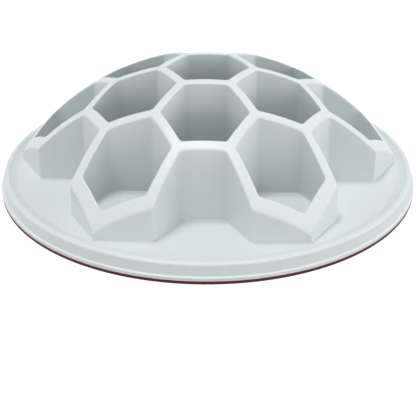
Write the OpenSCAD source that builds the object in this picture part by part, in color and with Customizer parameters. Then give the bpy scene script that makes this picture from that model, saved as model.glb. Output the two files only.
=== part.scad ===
// Slow feeder bowl: a low honeycomb dome of hexagonal pockets on a round flange,
// moulded in one plastic skin that is hollow underneath, with a soft ring under the rim.
// The nodes of the plastic are regions of that one moulding, cut along the middle of its walls.
// Origin: centre of the bowl on the table. +Z is up, and one open notch faces -Y.

/* [Bowl] */
// Diameter over the lip at the bottom of the rim
rim_d = 300; // [220:1:400]
// Height of the dome's crown, where its sphere would close over the middle pocket
crown_z = 87; // [60:1:130]
// Height of the flange above the table
flange_z = 11; // [9:0.5:20]
// Flat width of the flange outside the outermost wall corners
flange_w = 1.7; // [1:0.1:20]
// Thickness of the moulded skin
skin = 2; // [1.2:0.1:2.4]

/* [Pockets] */
// Width of the walls between the pockets, at the height of the crown
wall_w = 5.8; // [5:0.1:12]
// Draft of the pocket faces in degrees
draft = 1; // [0.5:0.1:1.5]
// Height of the pocket floors above the flange
floor_lift = 5.5; // [3:0.5:10]
// Height of the outermost wall corners above the flange
tip_h = 5.4; // [3:0.2:12]

/* [Rim] */
// Width over which the edge of the flange rises to the bead
rise_w = 4.3; // [2:0.1:8]
// Height that the flange gains over that width
rise_h = 1.2; // [0.2:0.1:2]
// Width of the bead round the flange
bead_w = 4.4; // [3.4:0.1:8]
// Height of the bead above the raised edge of the flange
bead_h = 0.7; // [0.2:0.1:2]
// Width of the slope on the bead's inner side
bead_slope_w = 0.7; // [0.2:0.1:1]
// Radius of the bead's outer edge
bead_edge_r = 2; // [0.4:0.1:2.4]
// Distance that the skirt leans in from bottom to top
skirt_lean = 1.3; // [0.4:0.1:3]
// Width of the ledge at the foot of the skirt
ledge_w = 1.4; // [0.6:0.1:2]
// Width of the lip that the soft ring sits under
lip_w = 6.2; // [5.4:0.1:9]
// Height of the lip
lip_h = 2.5; // [2:0.1:4]

/* [Soft ring] */
// Height of the soft ring under the lip
ring_h = 2.2; // [1.5:0.1:4]
// Distance that the soft ring is set back from the lip's outer edge
ring_inset = 0.1; // [0.1:0.1:1]
// Width of the tongue that locks the ring in the lip
tongue_w = 1.8; // [1.2:0.1:2.4]
// Height of the tongue
tongue_h = 1.6; // [1:0.1:1.8]
// Clearance round the tongue
tongue_fit = 0.1; // [0.05:0.05:0.2]
// Width of the two grip grooves in the ring's underside
grip_w = 0.8; // [0.4:0.1:1]
// Depth of the grip grooves
grip_h = 0.5; // [0.2:0.1:1]

/* [Hidden] */
$fn = 180;

shell_colour = [0.86, 0.89, 0.89];
ring_colour = [0.36, 0.10, 0.18];

// rim radii, from the lip inwards
rim_r = rim_d / 2;
skirt_foot_r = rim_r - ledge_w;
skirt_top_r = skirt_foot_r - skirt_lean;
bead_in_r = skirt_top_r - bead_w;
rise_in_r = bead_in_r - rise_w;
rise_z = flange_z + rise_h;
bead_z = rise_z + bead_h;
lip_z = ring_h + lip_h;
pocket_z = flange_z + floor_lift;

// every wall face leans by the draft, so walls are widest at the flange
function wall_at(z) = wall_w + 2 * tan(draft) * (crown_z - z);

// the honeycomb fills the circle inside the flange: four cell radii reach the outermost corner
tip_z = flange_z + tip_h;
tip_r = rise_in_r - flange_w;
cell_r = (tip_r - wall_at(tip_z) / sqrt(3)) / 4;
pitch = cell_r * sqrt(3);

// the sphere that cuts the wall tops passes through the crown and the outermost corners
dome_h = crown_z - tip_z;
dome_r = (tip_r * tip_r + dome_h * dome_h) / (2 * dome_h);

// lengths that only have to be long enough
over = crown_z;
eps = skin / 100;
arc_steps = 6;

function polar(r, a) = [r * cos(a), r * sin(a)];

// places of the cells: six at one pitch, six at three cell radii, six notches at two pitches
function inner_at(i) = polar(pitch, 60 * i - 30);
function outer_at(i) = polar(3 * cell_r, 60 * i);
function notch_at(i) = polar(2 * pitch, 60 * i - 30);

// ball under the dome's surface, or under its inner side when inset by the skin;
// it lies on its side, so that its poles and seam stay below the bowl
module dome_ball(inset) {
    translate([0, 0, crown_z - dome_r]) rotate([90, 0, 0]) sphere(r = dome_r - inset);
}

// slab with two drafted faces square to Y: side 1 widens downwards, side -1 upwards
module drafted_slab(side, inset, z0) {
    z1 = z0 + 2 * over;
    w0 = pitch + side * (wall_at(z0) - 2 * inset);
    w1 = pitch + side * (wall_at(z1) - 2 * inset);
    rotate([90, 0, 90])
        linear_extrude(height = 4 * pitch, center = true)
            polygon([[-w0 / 2, z0], [w0 / 2, z0], [w1 / 2, z1], [-w1 / 2, z1]]);
}

// hexagon with drafted faces, flat sides square to Y
module drafted_hex(side, inset, z0) {
    intersection_for (a = [0, 60, 120])
        rotate([0, 0, a]) drafted_slab(side, inset, z0);
}

// straight hexagon out to the middle of the walls
module cell_prism(z0) {
    translate([0, 0, z0]) cylinder(r = cell_r, h = over, $fn = 6);
}

// skin of a closed pocket: cup and rim, from the cup's floor up
module pocket(at) {
    difference() {
        intersection() {
            translate(at) cell_prism(pocket_z - skin);
            dome_ball(0);
        }
        translate(at) drafted_hex(-1, 0, pocket_z);
        difference() {
            dome_ball(skin);
            translate(at) drafted_hex(-1, skin, pocket_z - skin - over / 2);
        }
    }
}

module centre_pocket() {
    color(shell_colour) pocket([0, 0]);
}

module inner_pocket(i) {
    color(shell_colour) pocket(inner_at(i));
}

// plan of an outer pocket: its own hexagon, with its two side edges carried on outwards
module outer_plan(a) {
    outwards = polar(2 * cell_r, a);
    polygon(concat(
        [for (j = [2:4]) polar(cell_r, a + 60 * j)],
        [polar(cell_r, a - 60) + outwards, polar(cell_r, a + 60) + outwards]
    ));
}

// the same cup with an outer skin that stands on the flange
module outer_pocket(i) {
    at = outer_at(i);
    color(shell_colour) difference() {
        intersection() {
            translate([at[0], at[1], flange_z])
                linear_extrude(height = over) outer_plan(60 * i);
            translate(at) drafted_hex(1, 0, flange_z);
            dome_ball(0);
        }
        translate(at) drafted_hex(-1, 0, pocket_z);
        difference() {
            intersection() {
                dome_ball(skin);
                translate(at) drafted_hex(1, skin, flange_z - over / 2);
            }
            translate(at) drafted_hex(-1, skin, pocket_z - skin);
        }
    }
}

// plan of a notch: from its back corners outwards, along the side edges of the outer pockets
module notch_plan(a) {
    polygon([
        polar(cell_r, a - 150),
        polar(cell_r, a - 90) + polar(2 * cell_r, a - 30),
        polar(cell_r, a + 90) + polar(2 * cell_r, a + 30),
        polar(cell_r, a + 150)
    ]);
}

// outer bodies of the three closed pockets round a notch
module notch_neighbours(i, inset, z0) {
    translate(inner_at(i)) drafted_hex(1, inset, z0);
    translate(outer_at(i - 1)) drafted_hex(1, inset, z0);
    translate(outer_at(i)) drafted_hex(1, inset, z0);
}

// three walls round a notch, on the notch's side only
module notch(i) {
    at = notch_at(i);
    color(shell_colour) difference() {
        intersection() {
            translate([at[0], at[1], flange_z])
                linear_extrude(height = over) notch_plan(60 * i - 30);
            notch_neighbours(i, 0, flange_z);
            dome_ball(0);
        }
        intersection() {
            notch_neighbours(i, skin, flange_z - over / 2);
            dome_ball(skin);
        }
    }
}

// hexagons over all 13 closed pockets, out to the inner side of the outer skin
module foot_plan() {
    foot_r = cell_r + (wall_at(flange_z) - 2 * skin) / sqrt(3);
    circle(r = foot_r, $fn = 6);
    for (i = [1:6]) {
        translate(inner_at(i)) circle(r = foot_r, $fn = 6);
        translate(outer_at(i)) circle(r = foot_r, $fn = 6);
    }
}

module flange() {
    color(shell_colour) translate([0, 0, flange_z - skin])
        linear_extrude(height = skin) difference() {
            circle(r = rise_in_r);
            foot_plan();
        }
}

// middle of the tongue and of its groove
tongue_mid_r = rim_r - lip_w / 2;

// points of an arc about centre c, from angle a0 to a1
function arc(c, r, a0, a1) = [for (k = [0:arc_steps]) c + polar(r, a0 + (a1 - a0) * k / arc_steps)];

// section of the flange's rising edge, bead, skirt and lip, outwards and back
module skirt_section() {
    groove_half_w = tongue_w / 2 + tongue_fit;
    polygon(concat(
        [
            [rise_in_r, flange_z - skin],
            [rise_in_r, flange_z],
            [bead_in_r, rise_z],
            [bead_in_r + bead_slope_w, bead_z]
        ],
        arc([skirt_top_r - bead_edge_r, bead_z - bead_edge_r], bead_edge_r, 90, 0),
        [
            [skirt_foot_r, lip_z],
            [rim_r - ledge_w / 2, lip_z],
            [rim_r, lip_z - ledge_w / 2],
            [rim_r, ring_h],
            [tongue_mid_r + groove_half_w, ring_h],
            [tongue_mid_r + groove_half_w, ring_h + tongue_h + tongue_fit],
            [tongue_mid_r - groove_half_w, ring_h + tongue_h + tongue_fit],
            [tongue_mid_r - groove_half_w, ring_h],
            [rim_r - lip_w, ring_h],
            [rim_r - lip_w, lip_z],
            [skirt_foot_r - skin, lip_z],
            [skirt_top_r - skin, bead_z - skin],
            [bead_in_r, rise_z - skin]
        ]
    ));
}

module skirt() {
    color(shell_colour) rotate_extrude() skirt_section();
}

module soft_ring_section() {
    ring_out_r = rim_r - ring_inset;
    ring_w = lip_w - 2 * ring_inset;
    difference() {
        union() {
            translate([ring_out_r - ring_w, 0]) square([ring_w, ring_h]);
            translate([tongue_mid_r - tongue_w / 2, 0]) square([tongue_w, ring_h + tongue_h]);
        }
        for (side = [-1, 1])
            translate([tongue_mid_r + side * ring_w / 4 - grip_w / 2, -eps])
                square([grip_w, grip_h + eps]);
    }
}

module soft_ring() {
    color(ring_colour) rotate_extrude() soft_ring_section();
}

centre_pocket();
for (i = [1:6]) {
    inner_pocket(i);
    outer_pocket(i);
    notch(i);
}
flange();
skirt();
soft_ring();
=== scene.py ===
# Slow feeder bowl: its looks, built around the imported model.
# One pale plastic moulding, a honeycomb dome of food pockets on a round flange, and a soft ring under it.

import math

import bmesh
import bpy
import numpy as np
from mathutils import Matrix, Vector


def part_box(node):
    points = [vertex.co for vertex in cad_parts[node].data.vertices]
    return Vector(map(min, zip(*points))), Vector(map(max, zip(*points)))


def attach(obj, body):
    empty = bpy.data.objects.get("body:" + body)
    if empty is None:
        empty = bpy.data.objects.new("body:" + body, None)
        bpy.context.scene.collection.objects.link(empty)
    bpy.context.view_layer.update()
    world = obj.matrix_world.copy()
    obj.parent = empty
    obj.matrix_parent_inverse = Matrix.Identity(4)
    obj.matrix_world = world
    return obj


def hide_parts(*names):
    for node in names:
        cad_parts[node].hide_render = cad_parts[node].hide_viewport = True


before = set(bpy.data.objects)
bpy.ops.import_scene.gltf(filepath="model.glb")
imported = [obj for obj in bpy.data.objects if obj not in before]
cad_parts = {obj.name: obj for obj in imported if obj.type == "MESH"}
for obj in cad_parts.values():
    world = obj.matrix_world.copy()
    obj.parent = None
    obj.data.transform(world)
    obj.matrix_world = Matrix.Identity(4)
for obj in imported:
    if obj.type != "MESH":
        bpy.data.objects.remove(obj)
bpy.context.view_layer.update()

mm = 0.001
tan30 = math.tan(math.radians(30))
hollow, outward = -1, 1         # which way an upright corner bends

# what a user may change on the moulding; the other sizes come from the frame
moulding = {
    "crown": 87 * mm,           # height where the dome's sphere would close over the middle pocket
    "tipHeight": 5.4 * mm,      # outermost wall corners above the flange
    "flangeWidth": 1.7 * mm,    # flat flange outside those corners
    "wall": 5.8 * mm,           # width of the walls at the crown's height
    "draft": 1.0,               # degrees that each wall face leans
    "topRound": 1.2 * mm,       # rounding of the walls' top edges
    "slotRound": 0.5 * mm,      # the same inside the hollow walls, seen from below
    "pocketCorner": 2.6 * mm,   # upright corners inside pockets and notches
    "outerCorner": 1.2 * mm,    # upright corners of the outer walls
    "sharpest": 0.25 * mm,      # no corner is rounded less than this
    "floorRound": 1.2 * mm,     # pocket floor to wall
    "footRound": 0.9 * mm,      # flange to outer wall
    "straightSteps": 5,         # samples along half a hexagon side
    "cornerSteps": 3,           # samples round half an upright corner
    "webSteps": 2,              # rings across the flat top of a wall
    "roundSteps": 5,            # rings over a rounded edge
    "wallSteps": 2,             # rings down a wall
    "flangeSteps": 3,           # rings across the flange
    "settleRounds": 4,          # times that a wall's top edge is drawn onto the dome
    "floorShare": 0.6,          # how far out the first ring inside a floor's edge lies
    "gateR": 1.3 * mm,          # injection point under the middle pocket
    "gateDrop": 0.5 * mm,
    "pinR": 4.0 * mm,           # ejector marks under the other pockets
    "pinSink": 0.25 * mm,
}

# the rim's section, from the flange out to the lip, which is the widest part of the bowl
rim = {
    "flatEnd": 0.9 * mm,        # the last of the flat flange, which the rise's rounding runs into
    "rise": 4.3 * mm,           # band where the flange's edge climbs
    "riseRound": 6.0 * mm,      # rounding where that climb begins
    "creaseRound": 0.15 * mm,   # rise to step
    "stepWidth": 0.7 * mm,      # small slope up to the bead
    "beadStep": 0.7 * mm,       # its height
    "beadInnerRound": 0.3 * mm,
    "bead": 4.4 * mm,           # width of the bead with its step
    "beadRound": 2.0 * mm,      # its outer shoulder
    "hollowRound": 0.5 * mm,    # the same corner seen from below
    "lean": 1.3 * mm,           # how far the skirt leans out on its way down
    "valleyRound": 0.3 * mm,    # skirt to ledge
    "ledge": 1.4 * mm,          # flat top of the lip outside the skirt
    "ledgeRound": 0.8 * mm,     # ledge to lip
    "lipWidth": 6.2 * mm,
    "lipHeight": 2.5 * mm,
    "lipRound": 0.25 * mm,      # the lip's lower outer edge
    "smallRound": 0.12 * mm,    # edges of its groove and of its inner side
    "tongueWidth": 1.8 * mm,    # the soft ring's tongue, which locks in that groove
    "tongueHeight": 1.6 * mm,
    "tongueFit": 0.1 * mm,      # the groove is larger by this all round
}

# how finely sections and meshes are made
meshing = {
    "arcSteps": 4,              # steps round a section's corner
    "fineSteps": 2,             # the same on a corner that is rounded by less than the next value
    "fineRound": 0.2 * mm,
    "merge": 0.002 * mm,        # points nearer than this become one
    "sliver": 0.001 * mm,       # edges shorter than this are dissolved
    "areaWeight": 100,          # how strongly a large face draws the shading at its corners
}


# Lowest and highest height of a node.
def bottom(node):
    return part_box(node)[0].z


def top(node):
    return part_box(node)[1].z


flangeTop = top("flange")
skin = flangeTop - bottom("flange")
pocketFloor = bottom("centre_pocket") + skin
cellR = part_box("centre_pocket")[1].x
apothem = cellR * math.cos(math.radians(30))
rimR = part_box("skirt")[1].x
beadTop = top("skirt")
lipBottom = bottom("skirt")
lipTop = lipBottom + rim["lipHeight"]
skirtFootR = rimR - rim["ledge"]
skirtTopR = skirtFootR - rim["lean"]
beadInR = skirtTopR - rim["bead"]
riseInR = beadInR - rim["rise"]
tipR = riseInR - moulding["flangeWidth"]
tongueMidR = rimR - rim["lipWidth"] / 2

# the sphere through the crown and the tips, from its cap's radius and height
domeRise = moulding["crown"] - flangeTop - moulding["tipHeight"]
domeR = (tipR ** 2 + domeRise ** 2) / (2 * domeRise)


# A direction in plan, or many of them: cosine and sine of the angle in degrees.
def heading(degrees):
    turn = np.radians(degrees)
    return np.stack([np.cos(turn), np.sin(turn)], axis=-1)


# Half a wall's thickness at height z: half its width at the crown's height, plus the draft's tangent times
# the depth below the crown.
def halfWall(z):
    return moulding["wall"] / 2 + math.tan(math.radians(moulding["draft"])) * (moulding["crown"] - z)


# Height of the dome over plan points: the sphere's centre, plus the square root of its radius squared less
# the distance from the axis squared. The inset makes the radius smaller, for the underside of the skin.
def domeHeight(xy, inset):
    return moulding["crown"] - domeR + np.sqrt((domeR - inset) ** 2 - (xy ** 2).sum(axis=-1))


# Sides of walls as arrays, a row for each side, from its cell's centre and its heading. A side runs
# counterclockwise past the cell. Each sample is the sign of its half, the share of the straight stretch and
# the share of the corner's turn, and bend says how the corner at the end of that half bends.
def wallSides(centres, headings, facesOut, bends):
    straight, corner = moulding["straightSteps"], moulding["cornerSteps"]
    # from the middle of a side to its corner, whose last place belongs to the next side
    along = np.concatenate([np.linspace(0, 1, straight + 1), np.ones(corner)])
    turn = np.concatenate([np.zeros(straight + 1), np.linspace(0, 1, corner + 1)[1:]])
    sign = np.concatenate([-np.ones(len(along)), np.ones(len(along) - 2)])
    along = np.concatenate([along[::-1], along[1:-1]])
    turn = np.concatenate([turn[::-1], turn[1:-1]])
    normal = heading(headings)
    bend = np.where(sign[None, :] < 0, np.array(bends)[:, :1], np.array(bends)[:, 1:])
    return {
        "middle": (np.array(centres) + apothem * normal)[:, None, :],
        "normal": (normal if facesOut else -normal)[:, None, :],
        "tangent": heading(np.array(headings) + 90)[:, None, :],
        "sign": sign[None, :],
        "along": along[None, :],
        "turn": turn[None, :],
        "bend": bend,
        "corner": np.where(bend == hollow, moulding["pocketCorner"], moulding["outerCorner"]),
    }


# One ring of plan points at an offset from the walls' middle line. The straight stretch reaches
# tan(30 deg) * (apothem + bend * offset - radius) each way, and an arc of that radius turns on by 30 deg.
def ringAt(sides, offset, z):
    bend = sides["bend"]
    radius = np.maximum(sides["corner"] + bend * (offset - halfWall(z)), moulding["sharpest"])
    reach = (apothem + bend * offset - radius) * tan30
    angle = sides["turn"] * math.radians(30)
    across = offset - bend * radius * (1 - np.cos(angle))
    along = sides["sign"] * (sides["along"] * reach + radius * np.sin(angle))
    return sides["middle"] + across[..., None] * sides["normal"] + along[..., None] * sides["tangent"]


# The ring on the middle line itself, which is the same from both sides of a wall. It reaches the cell's own
# corner at apothem * tan(30 deg), and the corner's samples spread evenly over what is left of that.
def middleRing(sides):
    half = apothem * tan30
    reach = half - (halfWall(moulding["crown"]) + moulding["pocketCorner"]) * tan30
    along = sides["sign"] * (sides["along"] * reach + sides["turn"] * (half - reach))
    return sides["middle"] + along[..., None] * sides["tangent"]


# A ring of points in space: plan points with their heights, the sides joined into one row.
def row(xy, z):
    points = np.concatenate([xy, np.broadcast_to(z, xy.shape[:2])[..., None]], axis=-1)
    return points.reshape(-1, 3)


# Rings over a wall, from its middle line across the top and down one face to its foot. The top is the dome,
# less edge * (1 - cos t) where it rounds off. The face stands at half the wall's thickness. The foot leaves
# the face by foot * (1 - cos t) while it comes down to the floor by foot * (1 - sin t).
def wallRows(sides, inset, edge, floor, foot):
    quarter = np.radians(np.linspace(0, 90, moulding["roundSteps"] + 1)[1:])
    brow = np.full(sides["bend"].shape, moulding["crown"])      # height where the face meets the rounded edge
    for settle in range(moulding["settleRounds"]):
        face = halfWall(brow) - inset
        brow = domeHeight(ringAt(sides, face, brow), inset) - edge
    rows = [row(middleRing(sides), domeHeight(middleRing(sides), inset))]
    for share in np.linspace(0, 1, moulding["webSteps"] + 1)[1:]:
        xy = ringAt(sides, share * (face - edge), brow)
        rows.append(row(xy, domeHeight(xy, inset)))
    for t in quarter:
        xy = ringAt(sides, face - edge * (1 - math.sin(t)), brow)
        rows.append(row(xy, domeHeight(xy, inset) - edge * (1 - math.cos(t))))
    for share in np.linspace(0, 1, moulding["wallSteps"] + 1)[1:]:
        z = brow + share * (floor + foot - brow)
        rows.append(row(ringAt(sides, halfWall(z) - inset, z), z))
    for t in quarter:
        z = floor + foot * (1 - math.sin(t))
        offset = halfWall(floor) - inset + foot * (1 - math.cos(t))
        rows.append(row(ringAt(sides, np.full(face.shape, offset), floor), z))
    return rows


# Rings that close a floor: a share of the last ring's spokes, then circles, each of a radius and a height.
def floorRows(last, centre, circles):
    middle = np.append(centre, 0)
    spoke = (last - middle) * [1, 1, 0]
    rows = [middle + moulding["floorShare"] * spoke + last * [0, 0, 1]]
    unit = spoke / np.linalg.norm(spoke, axis=1, keepdims=True)
    for radius, z in circles:
        rows.append(middle + radius * unit + np.array([0, 0, z]))
    return rows


# A section line from corners, each a distance from the axis, a height and a rounding. A corner becomes an arc
# tangent to both of its legs, which starts rounding * tan(turn / 2) before it.
def roundedLine(corners):
    corners = np.array(corners, float)
    points, roundings = corners[:, :2], corners[1:-1, 2]
    line = [points[:1]]
    for before, at, after, rounding in zip(points[:-2], points[1:-1], points[2:], roundings):
        steps = meshing["fineSteps"] if rounding < meshing["fineRound"] else meshing["arcSteps"]
        into, away = at - before, after - at
        into, away = into / np.linalg.norm(into), away / np.linalg.norm(away)
        turn = math.atan2(into[0] * away[1] - into[1] * away[0], into @ away)
        start = at - into * rounding * math.tan(abs(turn) / 2)
        curl = math.copysign(rounding, turn)
        side = np.array([-into[1], into[0]]) * curl
        swing = np.linspace(0, turn, steps + 1)[:, None]
        line.append(start + side - np.cos(swing) * side + np.sin(swing) * into * curl)
    line.append(points[-1:])
    return np.concatenate(line)


# Quads between neighbouring rows of a grid that closes round its second direction.
def gridFaces(rowCount, around, first):
    r, c = np.meshgrid(np.arange(rowCount - 1), np.arange(around), indexing="ij")
    after = (c + 1) % around
    here, below = r * around, (r + 1) * around
    quads = np.stack([here + c, here + after, below + after, below + c], axis=-1)
    return quads.reshape(-1, 4) + first


# Puts grids of rows into one mesh, merges what coincides and turns the faces outwards. A grid that comes
# with a pole closes on it in a fan of triangles.
def meshFromGrids(name, grids):
    verts, faces, count = [], [], 0
    for rows, pole in grids:
        around = len(rows[0])
        verts.append(np.concatenate(rows))
        faces.extend(gridFaces(len(rows), around, count).tolist())
        count += len(rows) * around
        if pole is not None:
            verts.append(np.array([pole]))
            last, k = count - around, np.arange(around)
            fan = np.column_stack([last + k, last + (k + 1) % around, np.full(around, count)])
            faces.extend(fan.tolist())
            count += 1
    mesh = bpy.data.meshes.new(name)
    mesh.from_pydata(np.concatenate(verts).tolist(), [], faces)
    work = bmesh.new()
    work.from_mesh(mesh)
    bmesh.ops.remove_doubles(work, verts=work.verts, dist=meshing["merge"])
    bmesh.ops.dissolve_degenerate(work, edges=work.edges, dist=meshing["sliver"])
    bmesh.ops.recalc_face_normals(work, faces=work.faces)
    openEdges = sum(1 for edge in work.edges if not edge.is_manifold)
    work.to_mesh(mesh)
    work.free()
    mesh.shade_smooth()
    piece = bpy.data.objects.new(name, mesh)
    bpy.context.scene.collection.objects.link(piece)
    weigh = piece.modifiers.new("weightedNormals", "WEIGHTED_NORMAL")
    weigh.mode, weigh.weight, weigh.keep_sharp = "FACE_AREA", meshing["areaWeight"], True
    print(name, len(mesh.polygons), "faces,", openEdges, "open edges")
    return piece


# Plan centres of the 13 closed pockets: one in the middle, six at two apothems, six at three cell radii.
def pocketCentres():
    sixth = np.arange(6) * 60
    inner = 2 * apothem * heading(sixth + 30)
    outer = 3 * cellR * heading(sixth)
    return [np.zeros(2)], inner, outer


# The outer face of the whole honeycomb, 30 sides in order: four of each outer pocket, then the back of the
# notch that follows it.
def outlineSides():
    inner, outer = pocketCentres()[1:]
    pocketSides = ((-90, (hollow, outward)), (-30, (outward, outward)), (30, (outward, outward)),
                   (90, (outward, hollow)))
    centres, headings, bends = [], [], []
    for i in range(6):
        for turn, bend in pocketSides:
            centres.append(outer[i])
            headings.append(60 * i + turn)
            bends.append(bend)
        centres.append(inner[i])
        headings.append(60 * i + 30)
        bends.append((hollow, hollow))
    return wallSides(centres, headings, True, bends)


# Section of the rim, out over the bead, down the skirt, round the lip and back up the inside to the flange:
# a line of straight legs and arcs.
def rimSection():
    grooveHalf = rim["tongueWidth"] / 2 + rim["tongueFit"]
    grooveTop = lipBottom + rim["tongueHeight"] + rim["tongueFit"]
    riseTop = beadTop - rim["beadStep"]
    flatEndR = riseInR - rim["flatEnd"]
    lipInR = rimR - rim["lipWidth"]
    small, valley, rise = rim["smallRound"], rim["valleyRound"], rim["riseRound"]
    return roundedLine([
        (flatEndR, flangeTop, 0),
        (riseInR, flangeTop, rise),
        (beadInR, riseTop, rim["creaseRound"]),
        (beadInR + rim["stepWidth"], beadTop, rim["beadInnerRound"]),
        (skirtTopR, beadTop, rim["beadRound"]),
        (skirtFootR, lipTop, valley),
        (rimR, lipTop, rim["ledgeRound"]),
        (rimR, lipBottom, rim["lipRound"]),
        (tongueMidR + grooveHalf, lipBottom, small),
        (tongueMidR + grooveHalf, grooveTop, small),
        (tongueMidR - grooveHalf, grooveTop, small),
        (tongueMidR - grooveHalf, lipBottom, small),
        (lipInR, lipBottom, small),
        (lipInR, lipTop, small),
        (skirtFootR - skin, lipTop, valley),
        (skirtTopR - skin, beadTop - skin, rim["hollowRound"]),
        (beadInR, riseTop - skin, rise),
        (riseInR, flangeTop - skin, rise),
        (flatEndR, flangeTop - skin, 0),
    ])


# The moulding: a grid for the inside and one for the underside of each closed pocket, and one strip for all
# the rest, from the middle of the outer walls down, out over the flange and rim, and back underneath.
# Straight stretches are start + share * (end - start), and the rim is its section carried along the spokes.
def makeMoulding():
    grids = []
    undercut = pocketFloor - skin
    for centre in np.concatenate(pocketCentres()):
        sides = wallSides([centre] * 6, 30 + 60 * np.arange(6), False, [(hollow, hollow)] * 6)
        inside = wallRows(sides, 0, moulding["topRound"], pocketFloor, moulding["floorRound"])
        inside += floorRows(inside[-1], centre, [])
        grids.append((inside, (*centre, pocketFloor)))
        below = wallRows(sides, skin, moulding["slotRound"], undercut, moulding["floorRound"] + skin / 2)
        if np.linalg.norm(centre) < cellR:                              # the gate's stub hangs down
            step, way, r = moulding["gateDrop"], -1, moulding["gateR"]
        else:                                                           # a pin's mark is pressed up
            step, way, r = moulding["pinSink"], 1, moulding["pinR"]
        soft = step / 2
        mark = undercut + way * step
        circles = [(r + soft, undercut), (r, (undercut + mark) / 2), (r - soft, mark)]
        below += floorRows(below[-1], centre, circles)
        grids.append((below, (*centre, mark)))

    sides = outlineSides()
    over = wallRows(sides, 0, moulding["topRound"], flangeTop, moulding["footRound"])
    under = wallRows(sides, skin, moulding["slotRound"], flangeTop - skin, moulding["footRound"] + skin)
    spoke = over[-1] * [1, 1, 0]
    spoke /= np.linalg.norm(spoke, axis=1, keepdims=True)
    swept = [r * spoke + np.array([0, 0, z]) for r, z in rimSection()]
    shares = np.linspace(0, 1, moulding["flangeSteps"] + 1)[1:-1]
    out = [over[-1] + share * (swept[0] - over[-1]) for share in shares]
    back = [swept[-1] + share * (under[-1] - swept[-1]) for share in shares]
    grids.append((over + out + swept + back + under[::-1], None))
    return meshFromGrids("moulded_bowl", grids)


softRing = {
    "inset": 0.1 * mm,          # set back from both sides of the lip
    "edgeRound": 0.25 * mm,     # its four outer edges
    "smallRound": 0.12 * mm,    # edges of the tongue and of the grip grooves
    "gripWidth": 0.8 * mm,      # the grip grooves in its underside
    "gripDepth": 0.5 * mm,
    "around": 360,              # samples round the bowl
}


# The soft ring: its section, with the locking tongue and two grip grooves, carried round the bowl's axis at
# r * (cos, sin) of each sample's angle.
def makeSoftRing():
    outR = rimR - softRing["inset"]
    inR = rimR - rim["lipWidth"] + softRing["inset"]
    under, over = bottom("soft_ring"), lipBottom
    tongue, tongueTop = rim["tongueWidth"] / 2, top("soft_ring")
    grip, gripTop = softRing["gripWidth"] / 2, under + softRing["gripDepth"]
    edge, small = softRing["edgeRound"], softRing["smallRound"]
    start = ((inR + outR) / 2, under, 0)
    corners = [start]
    for side in (1, -1):
        groove = tongueMidR + side * (outR - inR) / 4       # middle of each half of the underside
        sideR = outR if side > 0 else inR
        half = [
            (groove - side * grip, under, small),
            (groove - side * grip, gripTop, small),
            (groove + side * grip, gripTop, small),
            (groove + side * grip, under, small),
            (sideR, under, edge),
            (sideR, over, edge),
            (tongueMidR + side * tongue, over, small),
            (tongueMidR + side * tongue, tongueTop, small),
        ]
        corners += half if side > 0 else half[::-1]
    line = roundedLine(corners + [start])[:-1]
    spoke = heading(np.linspace(0, 360, softRing["around"], endpoint=False))
    rows = [np.column_stack([r * spoke, np.full(len(spoke), z)]) for r, z in line]
    return meshFromGrids("non_slip_ring", [(rows + rows[:1], None)])


# A number in a shader, with its arithmetic: each operator adds the Math node that does it, and clipped()
# keeps the number between 0 and 1.
class Number:
    def __init__(self, tree, socket):
        self.tree = tree
        self.socket = socket

    def __add__(self, other):
        return self.tree.maths("ADD", self, other)

    def __radd__(self, other):
        return self.tree.maths("ADD", other, self)

    def __sub__(self, other):
        return self.tree.maths("SUBTRACT", self, other)

    def __rsub__(self, other):
        return self.tree.maths("SUBTRACT", other, self)

    def __mul__(self, other):
        return self.tree.maths("MULTIPLY", self, other)

    def __rmul__(self, other):
        return self.tree.maths("MULTIPLY", other, self)

    def clipped(self):
        return self.tree.maths("MINIMUM", self.tree.maths("MAXIMUM", self, 0.0), 1.0)


# The node tree of a material or of the world. node() takes a node's type, its settings, which are set first,
# and the values or links of its inputs by name or place, and returns the node.
class ShaderTree:
    def __init__(self, owner):
        owner.use_nodes = True
        self.tree = owner.node_tree
        self.tree.nodes.clear()

    def node(self, kind, settings=None, inputs=None):
        made = self.tree.nodes.new(kind)
        for name, value in (settings or {}).items():
            setattr(made, name, value)
        for name, value in (inputs or {}).items():
            value = value.socket if isinstance(value, Number) else value
            if isinstance(value, bpy.types.NodeSocket):
                self.tree.links.new(value, made.inputs[name])
            else:
                made.inputs[name].default_value = value
        return made

    def maths(self, operation, a, b):
        made = self.node("ShaderNodeMath", {"operation": operation}, {0: a, 1: b})
        return Number(self, made.outputs[0])

    def noise(self, where, size, detail, roughness):
        made = self.node("ShaderNodeTexNoise", {"noise_dimensions": "3D"},
                         {"Vector": where, "Scale": 1 / size, "Detail": detail, "Roughness": roughness})
        return Number(self, made.outputs["Fac"])

    # two colours by share; inputs 6 and 7 and output 2 are the Mix node's colour sockets
    def blend(self, share, a, b):
        made = self.node("ShaderNodeMix", {"data_type": "RGBA"}, {0: share, 6: a, 7: b})
        return made.outputs[2]


# What both finishes end in: two colours, of which the paler one's share is mottle * gain - shift, the
# roughness, and the height as a bump.
def finish(tree, look, mottle, roughness, height):
    share = (mottle * look["mottleGain"] - look["mottleShift"]).clipped()
    tint = tree.blend(share, look["colour"], look["paler"])
    bump = tree.node("ShaderNodeBump", None, {"Strength": 1.0, "Distance": 1.0, "Height": height})
    shader = tree.node("ShaderNodeBsdfPrincipled", None, {
        "Base Color": tint, "Roughness": roughness, "Normal": bump.outputs["Normal"],
        "Specular IOR Level": look["specular"],
    })
    tree.node("ShaderNodeOutputMaterial", None, {"Surface": shader.outputs["BSDF"]})


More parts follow.
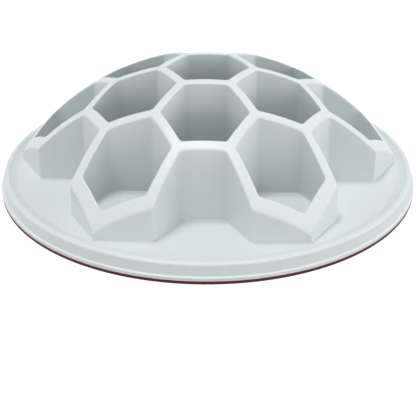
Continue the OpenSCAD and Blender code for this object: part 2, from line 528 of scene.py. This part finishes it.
plasticLook = {
    "colour": (0.650, 0.700, 0.704, 1),
    "paler": (0.670, 0.718, 0.721, 1),
    "mottleSize": 10 * mm,      # patches of the two colours
    "mottleDetail": 4.0,        # how many smaller scales join in
    "mottleFineness": 0.6,      # and how strongly
    "mottleGain": 1.6,          # contrast between the patches
    "mottleShift": 0.3,
    "roughness": 0.42,
    "roughnessSwing": 0.08,
    "grainSize": 0.35 * mm,     # spark-eroded satin of the mould
    "grainDepth": 0.010 * mm,
    "grainDetail": 3.0,
    "grainFineness": 0.6,
    "waveSize": 30 * mm,        # slow unevenness of a moulded wall
    "waveDepth": 0.035 * mm,
    "waveDetail": 1.0,
    "waveFineness": 0.5,
    "specular": 0.4,
}


# Satin moulded plastic. Its height is wave * depth + grain * depth, and its roughness swings about the middle
# with the mottle and the grain.
def satinPlastic():
    look = plasticLook
    material = bpy.data.materials.new("satin_plastic")
    tree = ShaderTree(material)
    where = tree.node("ShaderNodeTexCoord").outputs["Object"]
    wave = tree.noise(where, look["waveSize"], look["waveDetail"], look["waveFineness"])
    grain = tree.noise(where, look["grainSize"], look["grainDetail"], look["grainFineness"])
    mottle = tree.noise(where, look["mottleSize"], look["mottleDetail"], look["mottleFineness"])
    swing = look["roughnessSwing"]
    roughness = look["roughness"] + (mottle - 0.5) * swing + (grain - 0.5) * swing
    finish(tree, look, mottle, roughness, wave * look["waveDepth"] + grain * look["grainDepth"])
    return material


rubberLook = {
    "colour": (0.085, 0.007, 0.018, 1),
    "paler": (0.110, 0.012, 0.026, 1),
    "mottleSize": 5 * mm,
    "mottleDetail": 2.0,
    "mottleFineness": 0.5,
    "mottleGain": 1.6,
    "mottleShift": 0.3,
    "roughness": 0.62,
    "roughnessSwing": 0.12,
    "grainSize": 0.5 * mm,
    "grainDepth": 0.02 * mm,
    "grainDetail": 3.0,
    "grainFineness": 0.6,
    "specular": 0.3,
}


# Soft berry-coloured rubber: matt, with a coarser grain, which is its height and swings its roughness.
def softRubber():
    look = rubberLook
    material = bpy.data.materials.new("soft_rubber")
    tree = ShaderTree(material)
    where = tree.node("ShaderNodeTexCoord").outputs["Object"]
    grain = tree.noise(where, look["grainSize"], look["grainDetail"], look["grainFineness"])
    mottle = tree.noise(where, look["mottleSize"], look["mottleDetail"], look["mottleFineness"])
    roughness = look["roughness"] + (grain - 0.5) * look["roughnessSwing"]
    finish(tree, look, mottle, roughness, grain * look["grainDepth"])
    return material


studio = {
    "floorSize": 8.0,
    "floorBounce": (0.45, 0.45, 0.45, 1),   # what the floor throws back on the bowl
    "floorSeen": (0.30, 0.30, 0.30, 1),     # what the camera sees of its light and shadow
    "floorGlow": 0.84,                      # added where it is seen, so that it reads white
    "leftSky": 2.31,                        # light of the tent's sides, straight from that side
    "rightSky": 3.87,
    "frontSky": 1.93,
    "topLevel": 105.0,                      # lamp overhead, in watts
    "topPlace": (-0.42, 0.0, 4.0),
    "topSize": 1.3,
    "plumb": 0.999,                         # steeper than this, the lamp takes +Y as its up
}


# 1 where the camera, or a reflection or glass, looks straight at a surface.
def seenDirectly(tree):
    path = tree.node("ShaderNodeLightPath")
    seen = Number(tree, path.outputs["Is Camera Ray"])
    for ray in ("Is Glossy Ray", "Is Transmission Ray"):
        seen = seen + Number(tree, path.outputs[ray])
    return seen.clipped()


# A square floor at z = 0, half its size each way. It is grey in the light that it throws back on the bowl
# and white where it is seen.
def makeFloor():
    half = studio["floorSize"] / 2
    corners = [(-half, -half, 0), (half, -half, 0), (half, half, 0), (-half, half, 0)]
    mesh = bpy.data.meshes.new("floor")
    mesh.from_pydata(corners, [], [(0, 1, 2, 3)])
    floor = bpy.data.objects.new("floor", mesh)
    bpy.context.scene.collection.objects.link(floor)
    material = bpy.data.materials.new("white_floor")
    tree = ShaderTree(material)
    bounce = tree.node("ShaderNodeBsdfDiffuse", None, {"Color": studio["floorBounce"]})
    seen = tree.node("ShaderNodeBsdfDiffuse", None, {"Color": studio["floorSeen"]})
    glow = tree.node("ShaderNodeEmission", None, {"Strength": studio["floorGlow"]})
    both = tree.node("ShaderNodeAddShader", None, {0: seen.outputs[0], 1: glow.outputs[0]})
    mixed = tree.node("ShaderNodeMixShader", None,
                      {0: seenDirectly(tree), 1: bounce.outputs[0], 2: both.outputs[0]})
    tree.node("ShaderNodeOutputMaterial", None, {"Surface": mixed.outputs[0]})
    floor.data.materials.append(material)


# A light tent: each side shines by the square of how far a ray goes that way, and fades with 1 - up, the
# front with the square of that. Seen directly, the tent is white.
def makeWorld():
    world = bpy.data.worlds.new("studio")
    bpy.context.scene.world = world
    tree = ShaderTree(world)
    ray = tree.node("ShaderNodeTexCoord").outputs["Generated"]
    apart = tree.node("ShaderNodeSeparateXYZ", None, {0: ray})
    x, y, up = (Number(tree, apart.outputs[axis]) for axis in ("X", "Y", "Z"))
    right, left, front = x.clipped(), (0 - x).clipped(), (0 - y).clipped()
    low = 1 - up.clipped()
    sides = right * right * studio["rightSky"] + left * left * studio["leftSky"]
    tent = low * (sides + front * front * low * studio["frontSky"])
    seen = seenDirectly(tree)
    level = tent * (1 - seen) + seen
    background = tree.node("ShaderNodeBackground", None, {"Color": (1, 1, 1, 1), "Strength": level})
    tree.node("ShaderNodeOutputWorld", None, {"Surface": background.outputs[0]})


# Puts an object at a place and turns its -Z towards a target, upright unless rolled. Back is the unit vector
# away from the target, right is up x back, and the roll turns both right and upright about back.
def aim(thing, place, target, roll=0.0):
    back = np.array(place, float) - np.array(target, float)
    back /= np.linalg.norm(back)
    up = (0.0, 1.0, 0.0) if abs(back[2]) > studio["plumb"] else (0.0, 0.0, 1.0)
    right = np.cross(up, back)
    right /= np.linalg.norm(right)
    upright = np.cross(back, right)
    turned = math.cos(roll) * right + math.sin(roll) * upright
    raised = math.cos(roll) * upright - math.sin(roll) * right
    matrix = np.identity(4)
    matrix[:3, 0], matrix[:3, 1], matrix[:3, 2], matrix[:3, 3] = turned, raised, back, place
    thing.matrix_world = Matrix(matrix.tolist())


# A square soft box at a place, facing a target.
def softBox(name, place, target, size, level):
    light = bpy.data.lights.new(name, "AREA")
    light.shape, light.size, light.energy = "SQUARE", size, level
    lamp = bpy.data.objects.new(name, light)
    bpy.context.scene.collection.objects.link(lamp)
    aim(lamp, place, target)


# The camera that the photograph was taken with, as fitted to the bowl's corners in its square picture. The
# picture's size, focal length and centre are in pixels, and the angles in degrees.
photo = {
    "size": 416,
    "focalPixels": 946.5,
    "centreX": 207.74,
    "centreY": 173.57,
    "distance": 704.26 * mm,
    "elevation": 26.53,
    "azimuth": 1.757,
    "roll": -0.19,
    "sensor": 36.0,             # Blender's sensor width in millimetres, which scales the focal length
    "nearest": 0.01,            # metres in front of the camera that are drawn
    "furthest": 20.0,
}


# Focal length is focalPixels / size * sensor, and the shifts are the centre's distance from the middle as
# shares of the size. The place is the distance along the direction of azimuth and elevation.
def makeCamera():
    camera = bpy.data.objects.new("camera", bpy.data.cameras.new("camera"))
    bpy.context.scene.collection.objects.link(camera)
    bpy.context.scene.camera = camera
    lens = camera.data
    lens.sensor_fit, lens.sensor_width = "HORIZONTAL", photo["sensor"]
    lens.lens = photo["focalPixels"] / photo["size"] * lens.sensor_width
    lens.shift_x = 0.5 - photo["centreX"] / photo["size"]
    lens.shift_y = photo["centreY"] / photo["size"] - 0.5
    lens.clip_start, lens.clip_end = photo["nearest"], photo["furthest"]
    flat = heading(photo["azimuth"] - 90) * math.cos(math.radians(photo["elevation"]))
    place = photo["distance"] * np.append(flat, math.sin(math.radians(photo["elevation"])))
    aim(camera, place, (0, 0, 0), math.radians(photo["roll"]))


plasticNodes = [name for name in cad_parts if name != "soft_ring"]

bowl = makeMoulding()
bowl.data.materials.append(satinPlastic())
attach(bowl, "root")
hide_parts(*plasticNodes)
print("moulding done")

ring = makeSoftRing()
ring.data.materials.append(softRubber())
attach(ring, "root")
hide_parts("soft_ring")
print("soft ring done")

makeCamera()
makeFloor()
makeWorld()
softBox("top_light", studio["topPlace"], (0, 0, 0), studio["topSize"], studio["topLevel"])
bpy.context.scene.view_settings.view_transform = "Standard"
print("studio done")
